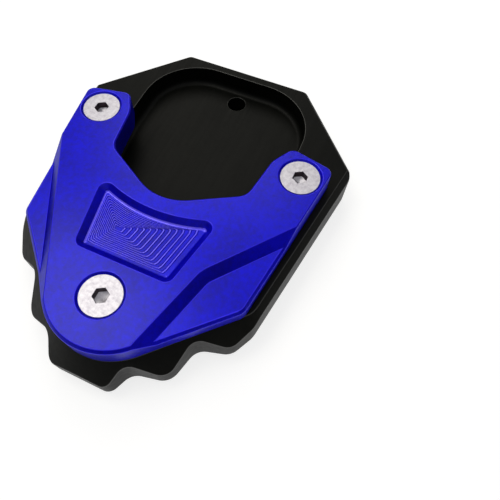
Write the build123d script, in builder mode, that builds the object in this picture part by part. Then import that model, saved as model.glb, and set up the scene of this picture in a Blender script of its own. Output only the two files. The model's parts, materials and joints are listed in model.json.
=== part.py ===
"""Kickstand foot enlarger: a pocketed base plate, a forked clamp plate and three countersunk screws."""

import os
from math import radians, tan

from build123d import *

os.makedirs("parts", exist_ok=True)

# Base plate, in plan
base_length = 114.4
back_edge = 44.9
corner_spread = 94.6
corner_from_back = 27.6
flank_spread = 76.4
flank_from_front = 30.0
corner_radius = 3.5
back_radius = 2.5

# Scalloped front edge: corners as distance from the middle line and from the front edge
front_lobe = 9.0
first_valley = (11.9, 7.0)
middle_lobe = (22.4, 9.2)
second_valley = (25.2, 20.2)
side_lobe = (34.6, 22.9)
front_lobe_radius = 3.2
lobe_radius = 5.2
valley_radius = 5.0
flank_radius = 9.0

# Base plate, in height
base_height = 13.2
bevel_angle = 48.0
bevel_width = 1.9
rim_chamfer = 0.7
foot_chamfer = 0.6

# Flat seat under the clamp plate, inside the bevel
seat_apex_from_front = -3.3
seat_corner_from_front = 32.8
left_seat_corner_from_front = 35.3
seat_nose_radius = 18.8
seat_corner_radius = 6.0

# Pocket for the foot of the stand
pocket_depth = 6.8
pocket_width = 57.6
pocket_wall = 3.4
pocket_front_from_back = 63.9
pocket_shoulder_width = 51.0
pocket_shoulder_from_back = 53.0
pocket_flank_from_back = 31.0
pocket_back_radius = 19.0
pocket_front_radius = 12.0
pocket_floor_radius = 2.0
drain_diameter = 6.4
drain_wall = 0.6

# Clamp plate, in plan
clamp_margin = 3.3
tip_margin = 4.1
nose_shift = 1.2
nose_apex_from_front = -2.85
nose_radius = 18.5
wing_corner_from_front = 30.5
left_wing_corner_from_front = 33.0
wing_corner_radius = 4.0
tip_from_front = 80.0
tip_inner_spread = 56.4
tip_slant = 2.9
tip_outer_radius = 2.5
tip_inner_radius = 3.0
fork_bend_spread = 48.4
fork_bend_from_front = 76.1
fork_bend_radius = 8.0
fork_shoulder_spread = 44.0
fork_shoulder_from_front = 61.7
fork_shoulder_radius = 5.0
fork_root_from_front = 49.3
fork_root_radius = 16.0

# Clamp plate, in height
clamp_thickness = 7.6
step_height = 3.0
step_angle = 43.0
step_top_from_front = 59.2
step_kink_spread = 40.8
step_kink_from_front = 35.3
step_nose_spread = 27.2
step_nose_from_front = 10.8
step_kink_radius = 9.0
left_step_top_from_front = 61.5
left_step_nose = (13.2, 13.0)
nose_chamfer = 0.9
wing_chamfer = 0.9
arm_chamfer = 0.4

# Sunk panel in the clamp plate
panel_depth = 1.9
panel_angle = 45.0
panel_front_width = 28.9
panel_back_width = 37.8
panel_front_from_front = 28.4
panel_back_from_front = 51.2
panel_back_sag = 4.4
panel_corner_radius = 2.6

# M6 countersunk screws
front_screw_from_front = 18.8
arm_screw_from_front = 74.0
arm_screw_spread = 67.6
screw_length = 16.0
thread_diameter = 6.0
thread_clearance = 0.1
tip_room = 1.0
clearance_diameter = 6.6
head_diameter = 11.7
head_angle = 90.0
head_sunk = 0.45
head_land = 0.25
socket_width = 4.0
socket_depth = 2.6
tip_chamfer = 0.6

# How close two places are to count as one
tolerance = 0.01

# Heights and places that follow from the sizes above
front = -base_length / 2
back = base_length / 2
top = base_height + clamp_thickness
wing_top = top - step_height
floor_height = base_height - pocket_depth
head_top = top - head_sunk
screw_tip = head_top - screw_length
front_screw = (0, front + front_screw_from_front)
arm_screws = [(side * arm_screw_spread / 2, front + arm_screw_from_front) for side in (-1, 1)]
screw_places = [front_screw] + arm_screws
flank_slope = (corner_spread - flank_spread) / 2 / (base_length - corner_from_back - flank_from_front)


def flank(from_front, inset=0.0):
    """Point on the straight right flank of the base plate, or on a line set in from it."""
    run = flank_spread / 2 + (from_front - flank_from_front) * flank_slope
    return (run - inset * (1 + flank_slope**2) ** 0.5, front + from_front)


def mirrored(points):
    """Points of the right half of an outline, followed by those of its left half."""
    return points + [(-x, y) for x, y in reversed(points) if x != 0]


def corner(sketch, place):
    """Corners of an outline that lie at a place or at its mirror image."""
    x, y = place
    return [v for v in sketch.vertices() if abs(abs(v.X) - abs(x)) < tolerance and abs(v.Y - y) < tolerance]


def left(place):
    """The mirror image of a place on the right half."""
    x, y = place
    return (-x, y)


def past(start, end, extra):
    """Point on the line from start to end, carried on beyond the end."""
    run = Vector(*end) - Vector(*start)
    reach = Vector(*end) + run.normalized() * extra
    return (reach.X, reach.Y)


def level(shapes, height):
    """Those of the shapes whose middle lies at a height."""
    return shapes.filter_by_position(Axis.Z, height - tolerance, height + tolerance)


# Base plate
back_corner = (back_edge / 2, back)
side_corner = (corner_spread / 2, back - corner_from_back)
flank_end = flank(flank_from_front)
scallops = [(x, front + y) for x, y in (first_valley, middle_lobe, second_valley, side_lobe)]
base_points = [(front_lobe, front)] + scallops + [flank_end, side_corner, back_corner]

seat_apex = (nose_shift, front + seat_apex_from_front)
seat_corner = flank(seat_corner_from_front, bevel_width)
left_seat_corner = left(flank(left_seat_corner_from_front, bevel_width))
seat_end = flank(base_length + base_height, bevel_width)
seat_points = [seat_apex, seat_corner, seat_end, left(seat_end), left_seat_corner]
bevel_reach = base_height / tan(radians(bevel_angle))

pocket_back = back - pocket_wall
pocket_corner = (pocket_width / 2, pocket_back)
pocket_flank = (pocket_width / 2, pocket_back - pocket_flank_from_back)
pocket_shoulder = (pocket_shoulder_width / 2, pocket_back - pocket_shoulder_from_back)
pocket_apex = (0, pocket_back - pocket_front_from_back)
pocket_points = [pocket_apex, pocket_shoulder, pocket_flank, pocket_corner]
drain_place = (0, pocket_back - pocket_floor_radius - drain_wall - drain_diameter / 2)

with BuildPart() as base_plate:
    with BuildSketch() as base_outline:
        with BuildLine():
            Polyline(*mirrored(base_points), close=True)
        make_face()
        fillet(corner(base_outline, (front_lobe, front)), front_lobe_radius)
        for place in (scallops[1], scallops[3]):
            fillet(corner(base_outline, place), lobe_radius)
        for place in (scallops[0], scallops[2]):
            fillet(corner(base_outline, place), valley_radius)
        fillet(corner(base_outline, flank_end), flank_radius)
        fillet(corner(base_outline, side_corner), corner_radius)
        fillet(corner(base_outline, back_corner), back_radius)
    extrude(amount=base_height)
    chamfer(base_plate.edges().group_by(Axis.Z)[0], foot_chamfer)
    chamfer(base_plate.edges().group_by(Axis.Z)[-1], rim_chamfer)

    # The bevel falls away all round the seat at one angle, so the scallops cut it at their own heights.
    with BuildSketch(Plane.XY.offset(base_height)) as seat_outline:
        with BuildLine():
            Polyline(*seat_points, close=True)
        make_face()
        fillet(corner(seat_outline, seat_apex), seat_nose_radius)
        fillet(corner(seat_outline, seat_corner), seat_corner_radius)
        fillet(corner(seat_outline, left_seat_corner), seat_corner_radius)
    with BuildSketch():
        add(seat_outline.sketch_local)
        offset(amount=bevel_reach)
    loft(ruled=True, mode=Mode.INTERSECT)

    with BuildSketch(Plane.XY.offset(base_height)) as pocket_outline:
        with BuildLine():
            Polyline(*mirrored(pocket_points), close=True)
        make_face()
        fillet(corner(pocket_outline, pocket_apex), pocket_front_radius)
        fillet(corner(pocket_outline, pocket_shoulder), pocket_front_radius)
        fillet(corner(pocket_outline, pocket_flank), pocket_front_radius)
        fillet(corner(pocket_outline, pocket_corner), pocket_back_radius)
    extrude(amount=-pocket_depth, mode=Mode.SUBTRACT)
    pocket_floor = level(base_plate.faces().filter_by(Axis.Z), floor_height)
    fillet(pocket_floor.edges(), pocket_floor_radius)
    with Locations(drain_place):
        Hole(drain_diameter / 2)
    with Locations(*[(x, y, base_height) for x, y in screw_places]):
        Hole(thread_diameter / 2, depth=base_height - screw_tip + tip_room)
base_plate.part.label = "base_plate"
export_step(base_plate.part, "parts/base_plate.step")

# Clamp plate
wing_corner = flank(wing_corner_from_front, clamp_margin)
left_wing_corner = left(flank(left_wing_corner_from_front, clamp_margin))
tip_outer = flank(tip_from_front, tip_margin)
tip_inner = (tip_inner_spread / 2, front + tip_from_front + tip_slant)
fork_bend = (fork_bend_spread / 2, front + fork_bend_from_front)
fork_shoulder = (fork_shoulder_spread / 2, front + fork_shoulder_from_front)
fork_root = (0, front + fork_root_from_front)
nose_apex = (nose_shift, front + nose_apex_from_front)
fork_points = [tip_outer, tip_inner, fork_bend, fork_shoulder, fork_root]
clamp_points = [nose_apex, wing_corner] + mirrored(fork_points) + [left_wing_corner]
clamp_radii = {
    nose_apex: nose_radius,
    wing_corner: wing_corner_radius,
    left_wing_corner: wing_corner_radius,
    tip_outer: tip_outer_radius,
    tip_inner: tip_inner_radius,
    fork_bend: fork_bend_radius,
    fork_shoulder: fork_shoulder_radius,
    fork_root: fork_root_radius,
}

step_top = flank(step_top_from_front, clamp_margin)
step_kink = (step_kink_spread / 2, front + step_kink_from_front)
step_nose = (step_nose_spread / 2, front + step_nose_from_front)
wing_points = [
    past(step_kink, step_top, clamp_margin),
    step_kink,
    past(step_kink, step_nose, nose_radius),
    (corner_spread, front),
    (corner_spread, back),
]
left_step_top = left(flank(left_step_top_from_front, clamp_margin))
left_step_end = (-left_step_nose[0], front + left_step_nose[1])
left_wing_points = [
    past(left_step_end, left_step_top, clamp_margin),
    past(left_step_top, left_step_end, nose_radius),
    (-corner_spread, front),
    (-corner_spread, back),
]
panel_front_y = front + panel_front_from_front
panel_back_y = front + panel_back_from_front
panel_points = [
    (-panel_back_width / 2, panel_back_y),
    (-panel_front_width / 2, panel_front_y),
    (panel_front_width / 2, panel_front_y),
    (panel_back_width / 2, panel_back_y),
]
countersink_radius = head_diameter / 2 + (head_sunk + head_land) * tan(radians(head_angle / 2))

with BuildSketch(Plane.XY.offset(base_height)) as clamp_outline:
    with BuildLine():
        Polyline(*clamp_points, close=True)
    make_face()
    for place, radius in clamp_radii.items():
        fillet(corner(clamp_outline, place), radius)

# Each wing lies below the raised middle beside a sloping step, bent once at the right, straight at the left.
with BuildPart() as raised_middle:
    extrude(clamp_outline.sketch, amount=clamp_thickness)
    with BuildSketch(Plane.XY.offset(top)) as wing_outline:
        with BuildLine():
            Polyline(*wing_points, close=True)
        make_face()
        with BuildLine():
            Polyline(*left_wing_points, close=True)
        make_face()
        fillet(corner(wing_outline, step_kink), step_kink_radius)
    extrude(amount=-step_height - wing_chamfer, taper=step_angle, mode=Mode.SUBTRACT)
    walls = raised_middle.faces().filter_by(lambda face: abs(face.normal_at().Z) < tolerance)
    raised_edges = level(walls.edges(), top)
    nose_edges = raised_edges.filter_by_position(Axis.Y, front, front_screw[1])
    arm_edges = raised_edges.filter_by_position(Axis.Y, front_screw[1], back)
    chamfer(nose_edges, nose_chamfer)
    chamfer(arm_edges, arm_chamfer)

with BuildPart() as clamp_plate:
    extrude(clamp_outline.sketch, amount=clamp_thickness - step_height)
    chamfer(clamp_plate.edges().group_by(Axis.Z)[-1], wing_chamfer)
    add(raised_middle.part)
    with BuildSketch(Plane.XY.offset(top)) as panel_outline:
        with BuildLine():
            sides = Polyline(*panel_points)
            ThreePointArc(sides @ 1, (0, panel_back_y - panel_back_sag), sides @ 0)
        make_face()
        fillet(panel_outline.vertices(), panel_corner_radius)
    extrude(amount=-panel_depth, taper=panel_angle, mode=Mode.SUBTRACT)

    with Locations(*[(x, y, top) for x, y in screw_places]):
        CounterSinkHole(clearance_diameter / 2, countersink_radius, counter_sink_angle=head_angle)
clamp_plate.part.label = "clamp_plate"
export_step(clamp_plate.part, "parts/clamp_plate.step")

# Clamp screws
head_radius = head_diameter / 2
thread_radius = thread_diameter / 2 - thread_clearance
cone_depth = (head_radius - thread_radius) / tan(radians(head_angle / 2))

with BuildPart() as screw:
    with BuildSketch(Plane.XZ):
        with BuildLine():
            Polyline(
                (0, head_top),
                (head_radius, head_top),
                (head_radius, head_top - head_land),
                (thread_radius, head_top - head_land - cone_depth),
                (thread_radius, screw_tip + tip_chamfer),
                (thread_radius - tip_chamfer, screw_tip),
                (0, screw_tip),
                close=True,
            )
        make_face()
    revolve(axis=Axis.Z)
    with BuildSketch(Plane.XY.offset(head_top)):
        RegularPolygon(socket_width / 2, 6, major_radius=False)
    extrude(amount=-socket_depth, mode=Mode.SUBTRACT)

with BuildPart() as clamp_screws:
    with Locations(*screw_places):
        add(screw.part)
clamp_screws.part.label = "clamp_screws"
export_step(clamp_screws.part, "parts/clamp_screws.step")
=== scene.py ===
"""Looks of a kickstand foot enlarger: softened edges, milling marks, screws, finishes, light and camera."""

import json
import logging
import math
from dataclasses import dataclass
from enum import Enum
from typing import Any

import bpy
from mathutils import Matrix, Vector

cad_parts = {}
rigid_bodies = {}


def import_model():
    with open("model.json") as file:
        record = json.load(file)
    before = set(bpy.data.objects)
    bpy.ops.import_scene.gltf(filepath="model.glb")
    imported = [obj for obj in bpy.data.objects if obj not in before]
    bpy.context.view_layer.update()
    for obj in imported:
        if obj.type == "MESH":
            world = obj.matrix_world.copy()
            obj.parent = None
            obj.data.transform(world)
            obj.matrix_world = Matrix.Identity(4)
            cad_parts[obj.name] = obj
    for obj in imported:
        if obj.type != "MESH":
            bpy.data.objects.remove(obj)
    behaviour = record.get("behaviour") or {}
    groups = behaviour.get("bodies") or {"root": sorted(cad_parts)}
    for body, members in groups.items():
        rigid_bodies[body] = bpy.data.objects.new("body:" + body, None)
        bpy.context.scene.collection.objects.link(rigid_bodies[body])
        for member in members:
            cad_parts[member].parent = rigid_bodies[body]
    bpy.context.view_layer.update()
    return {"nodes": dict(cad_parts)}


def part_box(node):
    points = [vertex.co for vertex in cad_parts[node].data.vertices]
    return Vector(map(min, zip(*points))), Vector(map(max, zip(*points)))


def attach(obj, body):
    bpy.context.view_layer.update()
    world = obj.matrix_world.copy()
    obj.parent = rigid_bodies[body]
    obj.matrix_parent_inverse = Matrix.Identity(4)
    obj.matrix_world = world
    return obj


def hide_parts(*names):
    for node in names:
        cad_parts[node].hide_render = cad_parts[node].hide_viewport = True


MM = 0.001
OXIDE_IOR = 1.76
BREAK_SEGMENTS = 2
FLAT_WEIGHT = 90
BODY = "root"

log = logging.getLogger("foot_enlarger")


class Slot(Enum):
    """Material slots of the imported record."""

    BLACK = "black_anodised"
    BLUE = "blue_anodised"
    STEEL = "stainless_steel"


def linear(hex_colour: str) -> tuple[float, float, float, float]:
    """Turn an sRGB hex colour into linear light.

    Args:
        hex_colour: Six hex digits, such as "1a0fc0".

    Returns:
        Red, green, blue and an alpha of one.
    """
    parts = [int(hex_colour[i : i + 2], 16) / 255 for i in (0, 2, 4)]
    red, green, blue = [c / 12.92 if c <= 0.04045 else ((c + 0.055) / 1.055) ** 2.4 for c in parts]
    return red, green, blue, 1.0


def add_node(
    tree: bpy.types.NodeTree,
    kind: str,
    settings: dict[str, Any] | None = None,
    inputs: dict[str | int, Any] | None = None,
) -> bpy.types.Node:
    """Add a shader node with its settings and links.

    Args:
        tree: Node tree that gets the node.
        kind: Blender's name for the kind of node.
        settings: Attributes of the node by name.
        inputs: Sockets by name or number, each with a value, or with the output socket to link.

    Returns:
        The new node.
    """
    node = tree.nodes.new(kind)
    for key, value in (settings or {}).items():
        setattr(node, key, value)
    for key, value in (inputs or {}).items():
        if isinstance(value, bpy.types.NodeSocket):
            tree.links.new(value, node.inputs[key])
        else:
            node.inputs[key].default_value = value
    return node


def new_material(name: str) -> tuple[bpy.types.Material, bpy.types.NodeTree]:
    """Make an empty node material.

    Args:
        name: Name of the material.

    Returns:
        The material and its node tree.
    """
    material = bpy.data.materials.new(name)
    material.use_nodes = True
    material.node_tree.nodes.clear()
    return material, material.node_tree


@dataclass(frozen=True)
class AnodisedAluminium:
    """Dyed and sealed anodised aluminium, milled and lightly blasted.

    The dye gives the metal under the clear oxide its colour. It takes unevenly, which gives soft clouds and
    a fine mottle. The cutter leaves faint streaks, and the blasting a grain that widens each reflection. The
    grain is drawn 0.35 mm wide, coarser than real blasting, so that it shows. The oxide gives a thin neutral
    gloss over it all.
    """

    name: str
    colour: str
    shade: str
    metallic: float
    roughness: float
    specular: float = 0.0
    coat: float = 0.0
    coat_roughness: float = 0.26
    cloud_mm: float = 14.0
    mottle_mm: float = 1.4
    dye_range: tuple[float, float] = (0.8, 1.2)
    streak_mm: float = 0.9
    streak_stretch: float = 0.04
    streak_turn_deg: float = 24.0
    streak_range: tuple[float, float] = (0.3, 0.7)
    roughness_swing: float = 0.04
    grain_mm: float = 0.35
    grain_depth_mm: float = 0.004
    grain_strength: float = 0.6

    def build(self) -> bpy.types.Material:
        """Build the material from Object coordinates."""
        material, tree = new_material(self.name)
        place = add_node(tree, "ShaderNodeTexCoord").outputs["Object"]
        clouds = add_node(
            tree,
            "ShaderNodeTexNoise",
            inputs={"Vector": place, "Scale": 1 / (self.cloud_mm * MM), "Detail": 3.0, "Roughness": 0.6},
        )
        mottle = add_node(
            tree,
            "ShaderNodeTexNoise",
            inputs={"Vector": place, "Scale": 1 / (self.mottle_mm * MM), "Detail": 3.0, "Roughness": 0.7},
        )
        both = add_node(
            tree,
            "ShaderNodeMath",
            {"operation": "ADD"},
            {0: clouds.outputs["Fac"], 1: mottle.outputs["Fac"]},
        )
        spread = add_node(
            tree,
            "ShaderNodeMapRange",
            inputs={
                "Value": both.outputs["Value"],
                "From Min": self.dye_range[0],
                "From Max": self.dye_range[1],
            },
        )
        colour = add_node(
            tree,
            "ShaderNodeMix",
            {"data_type": "RGBA"},
            {"Factor": spread.outputs["Result"], "A": linear(self.colour), "B": linear(self.shade)},
        )
        stretched = add_node(
            tree,
            "ShaderNodeMapping",
            inputs={
                "Vector": place,
                "Scale": (1.0, self.streak_stretch, 1.0),
                "Rotation": (0.0, 0.0, math.radians(self.streak_turn_deg)),
            },
        )
        streaks = add_node(
            tree,
            "ShaderNodeTexNoise",
            inputs={
                "Vector": stretched.outputs["Vector"],
                "Scale": 1 / (self.streak_mm * MM),
                "Detail": 2.0,
            },
        )
        roughness = add_node(
            tree,
            "ShaderNodeMapRange",
            inputs={
                "Value": streaks.outputs["Fac"],
                "From Min": self.streak_range[0],
                "From Max": self.streak_range[1],
                "To Min": self.roughness - self.roughness_swing,
                "To Max": self.roughness + self.roughness_swing,
            },
        )
        grain = add_node(
            tree,
            "ShaderNodeTexNoise",
            inputs={"Vector": place, "Scale": 1 / (self.grain_mm * MM), "Detail": 2.0},
        )
        bump = add_node(
            tree,
            "ShaderNodeBump",
            inputs={
                "Height": grain.outputs["Fac"],
                "Strength": self.grain_strength,
                "Distance": self.grain_depth_mm * MM,
            },
        )
        shader = add_node(
            tree,
            "ShaderNodeBsdfPrincipled",
            inputs={
                "Base Color": colour.outputs["Result"],
                "Metallic": self.metallic,
                "Roughness": roughness.outputs["Result"],
                "Specular IOR Level": self.specular,
                "Coat Weight": self.coat,
                "Coat Roughness": self.coat_roughness,
                "Coat IOR": OXIDE_IOR,
                "Normal": bump.outputs["Normal"],
            },
        )
        add_node(tree, "ShaderNodeOutputMaterial", inputs={"Surface": shader.outputs["BSDF"]})
        return material


@dataclass(frozen=True)
class TurnedStainlessSteel:
    """Stainless steel faced on a lathe, with rings about the axis of one screw.

    The rings and smudges spread its reflections, so that a head is white where it mirrors a lamp and mottled
    grey elsewhere. The rings are drawn 0.4 mm apart, coarser than a real finishing cut, so that they show.
    """

    name: str
    colour: str = "d4d2da"
    shade: str = "b6b2be"
    roughness: float = 0.48
    roughness_swing: float = 0.08
    ring_mm: float = 0.4
    ring_depth_mm: float = 0.006
    ring_strength: float = 0.5
    smudge_mm: float = 1.2
    smudge_range: tuple[float, float] = (0.4, 0.75)

    def build(self, centre: Vector) -> bpy.types.Material:
        """Build the material with its rings about an upright axis.

        Args:
            centre: A point on the axis.

        Returns:
            The material.
        """
        material, tree = new_material(self.name)
        place = add_node(tree, "ShaderNodeTexCoord").outputs["Object"]
        centred = add_node(
            tree, "ShaderNodeMapping", inputs={"Vector": place, "Location": (-centre.x, -centre.y, 0.0)}
        )
        split = add_node(tree, "ShaderNodeSeparateXYZ", inputs={"Vector": centred.outputs["Vector"]})
        flat = add_node(
            tree, "ShaderNodeCombineXYZ", inputs={"X": split.outputs["X"], "Y": split.outputs["Y"]}
        )
        radius = add_node(
            tree, "ShaderNodeVectorMath", {"operation": "LENGTH"}, {0: flat.outputs["Vector"]}
        )
        turns = add_node(
            tree,
            "ShaderNodeMath",
            {"operation": "MULTIPLY"},
            {0: radius.outputs["Value"], 1: 2 * math.pi / (self.ring_mm * MM)},
        )
        rings = add_node(tree, "ShaderNodeMath", {"operation": "SINE"}, {0: turns.outputs["Value"]})
        smudge = add_node(
            tree,
            "ShaderNodeTexNoise",
            inputs={"Vector": place, "Scale": 1 / (self.smudge_mm * MM), "Detail": 4.0, "Roughness": 0.7},
        )
        spread = add_node(
            tree,
            "ShaderNodeMapRange",
            inputs={
                "Value": smudge.outputs["Fac"],
                "From Min": self.smudge_range[0],
                "From Max": self.smudge_range[1],
            },
        )
        colour = add_node(
            tree,
            "ShaderNodeMix",
            {"data_type": "RGBA"},
            {"Factor": spread.outputs["Result"], "A": linear(self.colour), "B": linear(self.shade)},
        )
        roughness = add_node(
            tree,
            "ShaderNodeMapRange",
            inputs={
                "Value": smudge.outputs["Fac"],
                "To Min": self.roughness - self.roughness_swing,
                "To Max": self.roughness + self.roughness_swing,
            },
        )
        bump = add_node(
            tree,
            "ShaderNodeBump",
            inputs={
                "Height": rings.outputs["Value"],
                "Strength": self.ring_strength,
                "Distance": self.ring_depth_mm * MM,
            },
        )
        shader = add_node(
            tree,
            "ShaderNodeBsdfPrincipled",
            inputs={
                "Base Color": colour.outputs["Result"],
                "Metallic": 1.0,
                "Roughness": roughness.outputs["Result"],
                "Normal": bump.outputs["Normal"],
            },
        )
        add_node(tree, "ShaderNodeOutputMaterial", inputs={"Surface": shader.outputs["BSDF"]})
        return material


@dataclass(frozen=True)
class SocketShadeSteel:
    """Walls of a hex socket, painted dark as painted shade, which makes the socket look deep."""

    name: str = "socket_painted_shade_steel"
    colour: str = "54484e"
    roughness: float = 0.28

    def build(self) -> bpy.types.Material:
        """Build the material, which is the same all over."""
        material, tree = new_material(self.name)
        shader = add_node(
            tree,
            "ShaderNodeBsdfPrincipled",
            inputs={"Base Color": linear(self.colour), "Metallic": 1.0, "Roughness": self.roughness},
        )
        add_node(tree, "ShaderNodeOutputMaterial", inputs={"Surface": shader.outputs["BSDF"]})
        return material


def make_active(piece: bpy.types.Object) -> None:
    """Make a piece the only selected and active one."""
    bpy.ops.object.select_all(action="DESELECT")
    piece.select_set(True)
    bpy.context.view_layer.objects.active = piece


def apply_modifier(piece: bpy.types.Object, kind: str, settings: dict[str, Any]) -> None:
    """Add a modifier and apply it.

    Args:
        piece: The piece it acts on.
        kind: Blender's name for the kind of modifier.
        settings: Attributes of the modifier by name.
    """
    modifier = piece.modifiers.new(kind.lower(), kind)
    for key, value in settings.items():
        setattr(modifier, key, value)
    make_active(piece)
    bpy.ops.object.modifier_apply(modifier=modifier.name)


def break_sharp_edges(piece: bpy.types.Object, width_mm: float, sharp_deg: float) -> None:
    """Break the sharp edges of a piece and give them the last of its finishes, if it has any yet.

    On the plates that last finish is a lighter colour, painted on the edges as highlights.

    Args:
        piece: The piece.
        width_mm: Width of the break.
        sharp_deg: Angle from which an edge counts as sharp.
    """
    settings = {
        "width": width_mm * MM,
        "segments": BREAK_SEGMENTS,
        "limit_method": "ANGLE",
        "angle_limit": math.radians(sharp_deg),
        "use_clamp_overlap": False,
        "material": len(piece.data.materials) - 1,
    }
    apply_modifier(piece, "BEVEL", settings)


def shade_smoothly(piece: bpy.types.Object, sharp_deg: float) -> None:
    """Shade the arcs and broken edges of a piece smoothly and its flats flat.

    Args:
        piece: The piece, with its edges broken.
        sharp_deg: Angle from which an edge counts as sharp.
    """
    make_active(piece)
    bpy.ops.object.shade_smooth_by_angle(angle=math.radians(sharp_deg))
    apply_modifier(piece, "WEIGHTED_NORMAL", {"keep_sharp": True, "weight": FLAT_WEIGHT})


def paint(piece: bpy.types.Object, finishes: list[bpy.types.Material]) -> None:
    """Give a piece its finishes, of which the first covers it.

    Args:
        piece: The piece.
        finishes: Its finish, and any that some of its faces get later.
    """
    piece.data.materials.clear()
    for finish in finishes:
        piece.data.materials.append(finish)


def enrol(piece: bpy.types.Object) -> None:
    """Put a finished piece on its body and log its faces and finishes.

    Args:
        piece: The finished piece.
    """
    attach(piece, BODY)
    finishes = ", ".join(material.name for material in piece.data.materials)
    log.info("%s: %d faces, %s", piece.name, len(piece.data.polygons), finishes)


@dataclass
class MilledPlate:
    """A milled plate whose sharp edges are broken, as a deburring pass leaves them."""

    node: str
    name: str
    edge_break_mm: float = 0.18
    sharp_deg: float = 26.0
    flat_deg: float = 0.4
    merge_mm: float = 0.002

    def copy(self) -> bpy.types.Object:
        """Copy the CAD solid and join its faces.

        Returns:
            The plate; its CAD node is hidden.
        """
        source = bpy.data.objects[self.node]
        plate = bpy.data.objects.new(self.name, source.data.copy())
        bpy.context.scene.collection.objects.link(plate)
        make_active(plate)
        bpy.ops.object.mode_set(mode="EDIT")
        bpy.ops.mesh.select_all(action="SELECT")
        bpy.ops.mesh.remove_doubles(threshold=self.merge_mm * MM)
        bpy.ops.mesh.customdata_custom_splitnormals_clear()
        bpy.ops.mesh.dissolve_limited(angle_limit=math.radians(self.flat_deg))
        bpy.ops.object.mode_set(mode="OBJECT")
        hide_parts(self.node)
        return plate

    def break_edges(self, plate: bpy.types.Object) -> None:
        """Break the plate's sharp edges."""
        break_sharp_edges(plate, self.edge_break_mm, self.sharp_deg)

    def smooth(self, plate: bpy.types.Object) -> None:
        """Shade the plate, once its shape is done."""
        shade_smoothly(plate, self.sharp_deg)


@dataclass
class MillingMarks:
    """Rounded foot and ridged floor that a ball cutter leaves in the sunk panel.

    The cutter winds out from a place left of the middle, so its paths lie close together at the left and
    wide apart at the right.
    """

    depth_mm: float = 1.9
    centre_mm: tuple[float, float] = (-7.1, -19.1)
    foot_mm: float = 0.4
    foot_segments: int = 4
    margin: float = 0.985
    cuts: int = 15
    spacing_mm: float = 0.5
    rounding: float = 0.08
    passes: int = 13
    ridge_mm: float = 0.18
    rise_share: float = 0.46
    crest_share: float = 0.6
    fall_share: float = 0.8
    floor_tolerance_mm: float = 0.02
    crest_tolerance_mm: float = 0.01
    level_cosine: float = 0.99

    def floor_height(self, plate: bpy.types.Object) -> float:
        """Height of the panel's floor."""
        return max(corner[2] for corner in plate.bound_box) - self.depth_mm * MM

    def select_floor(self, plate: bpy.types.Object) -> None:
        """Select the panel's floor, which is the largest face at its height, and go into edit mode.

        Args:
            plate: The clamp plate, with its panel floor as one face.
        """
        height = self.floor_height(plate)
        make_active(plate)
        bpy.ops.object.mode_set(mode="EDIT")
        bpy.ops.mesh.select_mode(type="FACE")
        bpy.ops.mesh.select_all(action="DESELECT")
        bpy.ops.object.mode_set(mode="OBJECT")
        reach = self.floor_tolerance_mm * MM
        level = [face for face in plate.data.polygons if abs(face.center.z - height) < reach]
        max(level, key=lambda face: face.area).select = True
        bpy.ops.object.mode_set(mode="EDIT")

    def round_foot(self, plate: bpy.types.Object) -> None:
        """Round the corner between the panel's floor and its walls, and give it the pale colour of the
        painted highlight.

        Args:
            plate: The clamp plate, before its edges are broken, with the pale painted-highlight colour in
                its second slot.
        """
        self.select_floor(plate)
        bpy.ops.mesh.region_to_loop()
        bpy.ops.mesh.bevel(
            offset=self.foot_mm * MM, offset_type="OFFSET", segments=self.foot_segments, affect="EDGES"
        )
        plate.active_material_index = 1
        bpy.ops.object.material_slot_assign()
        bpy.ops.object.mode_set(mode="OBJECT")

    def cut(self, plate: bpy.types.Object) -> None:
        """Cut the ridges into the panel's floor.

        Args:
            plate: The clamp plate, with its edges broken.
        """
        centre = (self.centre_mm[0] * MM, self.centre_mm[1] * MM, self.floor_height(plate))
        self.select_floor(plate)
        bpy.ops.mesh.extrude_region()
        bpy.ops.transform.resize(value=(self.margin, self.margin, 1.0), center_override=centre)
        bpy.ops.mesh.region_to_loop()
        bpy.ops.mesh.subdivide(number_cuts=self.cuts)
        bpy.ops.object.mode_set(mode="OBJECT")
        self.select_floor(plate)
        bpy.ops.mesh.remove_doubles(threshold=self.spacing_mm * MM)
        steps = (
            (self.rise_share, 0.0),
            (self.crest_share, self.ridge_mm),
            (self.fall_share, 0.0),
            (1.0, -self.ridge_mm),
        )
        reach = 1.0
        for number in range(self.passes - 1):
            for share, rise in steps:
                new_reach = 1.0 - (number + share) / self.passes
                scale = new_reach / reach
                reach = new_reach
                bpy.ops.mesh.extrude_region()
                bpy.ops.mesh.vertices_smooth(factor=self.rounding)
                bpy.ops.transform.resize(value=(scale, scale, 1.0), center_override=centre)
                bpy.ops.transform.translate(value=(0.0, 0.0, rise * MM))
        for _ in range(len(steps) * (self.passes - 1) + 1):
            bpy.ops.mesh.select_more(use_face_step=False)
        plate.active_material_index = 0
        bpy.ops.object.material_slot_assign()
        bpy.ops.object.mode_set(mode="OBJECT")
        self.paint_highlights(plate)

    def paint_highlights(self, plate: bpy.types.Object) -> None:
        """Keep the pale painted-highlight colour on the foot only at the back and left, and paint it on the
        crests.

        Args:
            plate: The ridged clamp plate, with the pale painted-highlight colour in its second slot and on
                the whole foot.
        """
        floor = self.floor_height(plate)
        for face in plate.data.polygons:
            normal = face.normal
            height = face.center.z - floor
            from_crest = abs(height - self.ridge_mm * MM)
            # Painted highlight: the flat crests get the pale colour, and the foot loses it where it faces
            # back.
            if normal.z > self.level_cosine and from_crest < self.crest_tolerance_mm * MM:
                face.material_index = 1
            elif abs(height) < self.foot_mm * MM and normal.y > 0 and normal.x < normal.y / 2:
                face.material_index = 0


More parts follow.
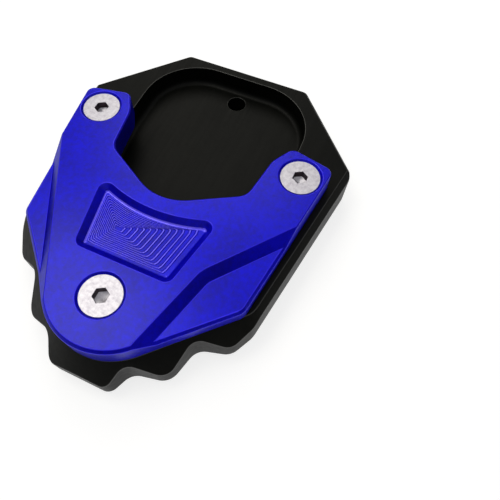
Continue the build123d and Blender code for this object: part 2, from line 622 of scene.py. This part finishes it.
@dataclass
class CountersunkScrew:
    """M6 countersunk screw with a hex socket, sunk into the clamp plate."""

    head_mm: float = 11.7
    thread_mm: float = 5.8
    land_mm: float = 0.25
    tip_chamfer_mm: float = 0.6
    socket_mm: float = 4.0
    socket_depth_mm: float = 2.4
    drill_point_mm: float = 0.7
    drill_point_share: float = 0.05
    edge_break_mm: float = 0.12
    sharp_deg: float = 30.0
    wall_cosine: float = 0.5
    sides: int = 96

    def socket_reach(self) -> float:
        """Distance of the socket's corners from its axis, in metres."""
        return self.socket_mm / math.sqrt(3) * MM

    def build(self, name: str, place: Vector, tip: float, head_top: float) -> bpy.types.Object:
        """Model one screw from its tip up.

        Args:
            name: Name of the piece.
            place: Point on the axis.
            tip: Height of the tip.
            head_top: Height of the head's face.

        Returns:
            The screw.
        """
        thread = self.thread_mm / 2 * MM
        head = self.head_mm / 2 * MM
        chamfer = self.tip_chamfer_mm * MM
        land = self.land_mm * MM
        cone = head - thread
        axis = (place.x, place.y, tip)
        bpy.ops.object.select_all(action="DESELECT")
        bpy.ops.mesh.primitive_circle_add(
            vertices=self.sides, radius=thread - chamfer, fill_type="NGON", location=axis
        )
        screw = bpy.context.object
        screw.name = name
        bpy.ops.object.transform_apply(location=True)
        bpy.ops.object.mode_set(mode="EDIT")
        bpy.ops.mesh.select_all(action="SELECT")
        shaft = head_top - tip - chamfer - cone - land
        rises = [(chamfer, thread / (thread - chamfer)), (shaft, 1.0), (cone, head / thread), (land, 1.0)]
        for rise, scale in rises:
            bpy.ops.mesh.extrude_region()
            bpy.ops.transform.translate(value=(0.0, 0.0, rise))
            bpy.ops.transform.resize(value=(scale, scale, 1.0), center_override=axis)
        bpy.ops.mesh.select_all(action="SELECT")
        bpy.ops.mesh.normals_make_consistent(inside=False)
        bpy.ops.object.mode_set(mode="OBJECT")
        self.cut_socket(screw, place, head_top)
        break_sharp_edges(screw, self.edge_break_mm, self.sharp_deg)
        shade_smoothly(screw, self.sharp_deg)
        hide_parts("clamp_screws")
        return screw

    def paint_socket_shade(self, screw: bpy.types.Object, place: Vector, head_top: float) -> None:
        """Give the walls of the socket the dark colour of the painted shade.

        Args:
            screw: The finished screw, with the socket's painted shade in its second slot.
            place: Point on its axis.
            head_top: Height of the head's face.
        """
        below = head_top - self.edge_break_mm * MM
        for face in screw.data.polygons:
            upright = abs(face.normal.z) < self.wall_cosine
            from_axis = (face.center - place).to_2d().length
            if upright and from_axis < self.socket_reach() and face.center.z < below:
                face.material_index = 1

    def cut_socket(self, screw: bpy.types.Object, place: Vector, head_top: float) -> None:
        """Cut the hex socket and its drill point out of a screw's head.

        Args:
            screw: The solid screw.
            place: Point on its axis.
            head_top: Height of the head's face.
        """
        depth = self.socket_depth_mm * MM
        bpy.ops.object.select_all(action="DESELECT")
        bpy.ops.mesh.primitive_circle_add(
            vertices=6,
            radius=self.socket_reach(),
            fill_type="NGON",
            location=(place.x, place.y, head_top + depth),
        )
        cutter = bpy.context.object
        bpy.ops.object.transform_apply(location=True)
        bpy.ops.object.mode_set(mode="EDIT")
        bpy.ops.mesh.select_all(action="SELECT")
        for drop, scale in ((2 * depth, 1.0), (self.drill_point_mm * MM, self.drill_point_share)):
            bpy.ops.mesh.extrude_region()
            bpy.ops.transform.translate(value=(0.0, 0.0, -drop))
            bpy.ops.transform.resize(value=(scale, scale, 1.0), center_override=(place.x, place.y, 0.0))
        bpy.ops.mesh.select_all(action="SELECT")
        bpy.ops.mesh.normals_make_consistent(inside=False)
        bpy.ops.object.mode_set(mode="OBJECT")
        apply_modifier(screw, "BOOLEAN", {"operation": "DIFFERENCE", "object": cutter, "solver": "EXACT"})
        bpy.data.objects.remove(cutter)


@dataclass
class FootEnlarger:
    """The whole part: two milled plates and the screws that hold them together."""

    # Deep black: its flats mirror a little of the pale ceiling, and its bevels the dark room.
    black: AnodisedAluminium = AnodisedAluminium(
        name="black_anodised_aluminium",
        colour="050604",
        shade="0a0b08",
        metallic=0.0,
        roughness=0.46,
        specular=0.1,
    )
    # Broken edges, glossier, and painted a lighter black as painted highlights: thin grey outlines.
    black_edge_highlight: AnodisedAluminium = AnodisedAluminium(
        name="black_edges_painted_highlight",
        colour="161714",
        shade="1c1d1a",
        metallic=0.0,
        roughness=0.34,
        specular=0.55,
    )
    # Royal blue: a violet haze where its oxide mirrors a lamp, and dark slopes where it mirrors the room.
    blue: AnodisedAluminium = AnodisedAluminium(
        name="blue_anodised_aluminium",
        colour="0a04d8",
        shade="0e06ae",
        metallic=0.6,
        roughness=0.5,
        coat=0.21,
    )
    # Painted highlights: the crests of the ridges and the panel's foot at the back and left are painted
    # pale blue, and are glossier where the cutter burnished them: pale blue lines.
    crest_highlight: AnodisedAluminium = AnodisedAluminium(
        name="blue_crests_painted_highlight",
        colour="5c50ff",
        shade="6c60ff",
        metallic=0.35,
        roughness=0.3,
        coat=0.3,
        coat_roughness=0.2,
    )
    # Broken edges painted a lighter blue as painted highlights: lighter blue outlines.
    blue_edge_highlight: AnodisedAluminium = AnodisedAluminium(
        name="blue_edges_painted_highlight",
        colour="1e14ec",
        shade="2c22f0",
        metallic=0.6,
        roughness=0.5,
        coat=0.3,
    )
    # Painted shade: the walls of the hex sockets are painted dark.
    socket_shade: SocketShadeSteel = SocketShadeSteel()

    def build_plates(self) -> None:
        """Build both plates and dress them."""
        base = MilledPlate("base_plate", "base_plate_milled")
        plate = base.copy()
        paint(plate, [self.black.build(), self.black_edge_highlight.build()])
        base.break_edges(plate)
        base.smooth(plate)
        enrol(plate)
        clamp = MilledPlate("clamp_plate", "clamp_plate_milled")
        marks = MillingMarks()
        plate = clamp.copy()
        paint(plate, [self.blue.build(), self.crest_highlight.build(), self.blue_edge_highlight.build()])
        marks.round_foot(plate)
        clamp.break_edges(plate)
        marks.cut(plate)
        clamp.smooth(plate)
        enrol(plate)

    def build_screws(self) -> None:
        """Build the screws at the places that the CAD screws' box gives."""
        low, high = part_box("clamp_screws")
        screw = CountersunkScrew()
        socket_shade = self.socket_shade.build()
        head = screw.head_mm / 2 * MM
        places = {
            "clamp_screw_front": Vector((0.0, low.y + head, 0.0)),
            "clamp_screw_left": Vector((low.x + head, high.y - head, 0.0)),
            "clamp_screw_right": Vector((high.x - head, high.y - head, 0.0)),
        }
        for name, place in places.items():
            piece = screw.build(name, place, low.z, high.z)
            steel = TurnedStainlessSteel(f"turned_steel_{name}")
            paint(piece, [steel.build(place), socket_shade])
            # Painted shade on the walls of the socket.
            screw.paint_socket_shade(piece, place, high.z)
            enrol(piece)


@dataclass
class Studio:
    """White sheet, dim room and two soft boxes, as for a product photograph.

    The room is given as pairs of a height, as the sine of the angle above the horizon, and a level of light.
    """

    sheet_radius: float = 0.4
    sheet_sides: int = 128
    sheet_colour: str = "f4f4f4"
    sheet_glow: float = 0.74
    sheet_grey: float = 0.42
    # Painted shadow: a dark disc painted on the sheet under the drain hole, so that the hole looks dark.
    painted_shadow_colour: str = "101010"
    painted_shadow_radius: float = 0.007
    painted_shadow_place: tuple[float, float, float] = (0.0, 0.048, 0.0)
    room: tuple[tuple[float, float], ...] = ((0.1, 0.16), (0.25, 0.03), (0.42, 0.03), (0.7, 0.62))
    lamp_distance: float = 0.6
    lamp_colour: tuple[float, float, float] = (1.0, 0.96, 0.85)
    key: tuple[float, float, float] = (-0.4, 0.04, 0.92)
    key_size: float = 0.25
    key_power: float = 0.77
    back: tuple[float, float, float] = (-0.3, 0.6, 0.74)
    back_size: float = 0.3
    back_power: float = 0.5

    def paper(self) -> bpy.types.Material:
        """Build the sheet's paper.

        It is white to the eye and in reflections, and keeps the part's shadow. Under the drain hole it has a
        painted shadow, a dark disc, so that the hole looks dark.

        Returns:
            The material.
        """
        material, tree = new_material("white_paper")
        path = add_node(tree, "ShaderNodeLightPath")
        seen = add_node(
            tree,
            "ShaderNodeMath",
            {"operation": "MAXIMUM"},
            {0: path.outputs["Is Camera Ray"], 1: path.outputs["Is Glossy Ray"]},
        )
        seen = add_node(
            tree,
            "ShaderNodeMath",
            {"operation": "MAXIMUM"},
            {0: seen.outputs["Value"], 1: path.outputs["Is Transmission Ray"]},
        )
        paper = add_node(tree, "ShaderNodeBsdfDiffuse", inputs={"Color": linear(self.sheet_colour)})
        grey = (self.sheet_grey, self.sheet_grey, self.sheet_grey, 1.0)
        shaded = add_node(tree, "ShaderNodeBsdfDiffuse", inputs={"Color": grey})
        glow = add_node(tree, "ShaderNodeEmission", inputs={"Strength": self.sheet_glow})
        white = add_node(
            tree,
            "ShaderNodeAddShader",
            inputs={0: shaded.outputs["BSDF"], 1: glow.outputs["Emission"]},
        )
        mix = add_node(
            tree,
            "ShaderNodeMixShader",
            inputs={0: seen.outputs["Value"], 1: paper.outputs["BSDF"], 2: white.outputs["Shader"]},
        )
        place = add_node(tree, "ShaderNodeTexCoord").outputs["Object"]
        away = add_node(
            tree, "ShaderNodeVectorMath", {"operation": "DISTANCE"}, {0: place, 1: self.painted_shadow_place}
        )
        # Painted shadow: the sheet turns dark inside a small disc under the drain hole.
        painted_shadow_mask = add_node(
            tree,
            "ShaderNodeMath",
            {"operation": "LESS_THAN"},
            {0: away.outputs["Value"], 1: self.painted_shadow_radius},
        )
        dark = add_node(tree, "ShaderNodeBsdfDiffuse", inputs={"Color": linear(self.painted_shadow_colour)})
        shade = add_node(
            tree,
            "ShaderNodeMixShader",
            inputs={0: painted_shadow_mask.outputs["Value"], 1: mix.outputs["Shader"], 2: dark.outputs["BSDF"]},
        )
        add_node(tree, "ShaderNodeOutputMaterial", inputs={"Surface": shade.outputs["Shader"]})
        return material

    def lay_sheet(self) -> None:
        """Lay the white sheet under the part."""
        bpy.ops.object.select_all(action="DESELECT")
        bpy.ops.mesh.primitive_circle_add(
            vertices=self.sheet_sides, radius=self.sheet_radius, fill_type="NGON"
        )
        sheet = bpy.context.object
        sheet.name = "white_sheet"
        sheet.data.materials.append(self.paper())

    def hang_soft_box(
        self, name: str, towards: tuple[float, float, float], size: float, power: float
    ) -> None:
        """Hang a soft box that faces the part.

        Args:
            name: Name of the lamp.
            towards: Direction of the lamp from the part.
            size: Length of its sides in metres.
            power: Its power in watts.
        """
        lamp = bpy.data.lights.new(name, "AREA")
        lamp.shape = "SQUARE"
        lamp.size = size
        lamp.energy = power
        lamp.color = self.lamp_colour
        soft_box = bpy.data.objects.new(name, lamp)
        bpy.context.scene.collection.objects.link(soft_box)
        direction = Vector(towards).normalized()
        soft_box.location = direction * self.lamp_distance
        soft_box.rotation_euler = direction.to_track_quat("Z", "Y").to_euler()

    def light(self) -> None:
        """Hang both soft boxes and set the room: a grey wall, dark screens over it and a pale ceiling."""
        self.hang_soft_box("key_box", self.key, self.key_size, self.key_power)
        self.hang_soft_box("back_box", self.back, self.back_size, self.back_power)
        world = bpy.data.worlds.new("studio")
        bpy.context.scene.world = world
        world.use_nodes = True
        tree = world.node_tree
        tree.nodes.clear()
        outwards = add_node(tree, "ShaderNodeTexCoord").outputs["Generated"]
        split = add_node(tree, "ShaderNodeSeparateXYZ", inputs={"Vector": outwards})
        ramp = add_node(tree, "ShaderNodeValToRGB", inputs={"Fac": split.outputs["Z"]})
        stops = ramp.color_ramp.elements
        stops[0].position = self.room[0][0]
        stops[1].position = self.room[-1][0]
        for height, _ in self.room[1:-1]:
            stops.new(height)
        for stop, (_, level) in zip(stops, self.room):
            stop.color = (level, level, level, 1.0)
        around = add_node(tree, "ShaderNodeBackground", inputs={"Color": ramp.outputs["Color"]})
        add_node(tree, "ShaderNodeOutputWorld", inputs={"Surface": around.outputs["Background"]})


@dataclass
class PhotoCamera:
    """Camera at the photograph's place, looking down on the part from its front right."""

    location_mm: tuple[float, float, float] = (47.35, -63.31, 130.63)
    turn_deg: tuple[float, float, float] = (28.335, 0.362, 24.325)
    lens_mm: float = 33.16
    shift: tuple[float, float] = (0.046, -0.0294)
    near_mm: float = 5.0

    def set_up(self) -> None:
        """Make the camera and give it to the scene."""
        data = bpy.data.cameras.new("photo_camera")
        data.lens = self.lens_mm
        data.shift_x, data.shift_y = self.shift
        data.clip_start = self.near_mm * MM
        camera = bpy.data.objects.new("photo_camera", data)
        camera.location = [c * MM for c in self.location_mm]
        camera.rotation_euler = [math.radians(a) for a in self.turn_deg]
        bpy.context.scene.collection.objects.link(camera)
        bpy.context.scene.camera = camera


def main() -> None:
    """Load the frame, build and dress each piece, and set the studio up."""
    logging.basicConfig(level=logging.INFO, format="%(name)s: %(message)s")
    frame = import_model()
    log.info("CAD nodes: %s", ", ".join(sorted(frame["nodes"])))
    part = FootEnlarger()
    part.build_plates()
    part.build_screws()
    studio = Studio()
    studio.lay_sheet()
    studio.light()
    PhotoCamera().set_up()
    bpy.context.scene.view_settings.view_transform = "Standard"


if __name__ == "__main__":
    main()
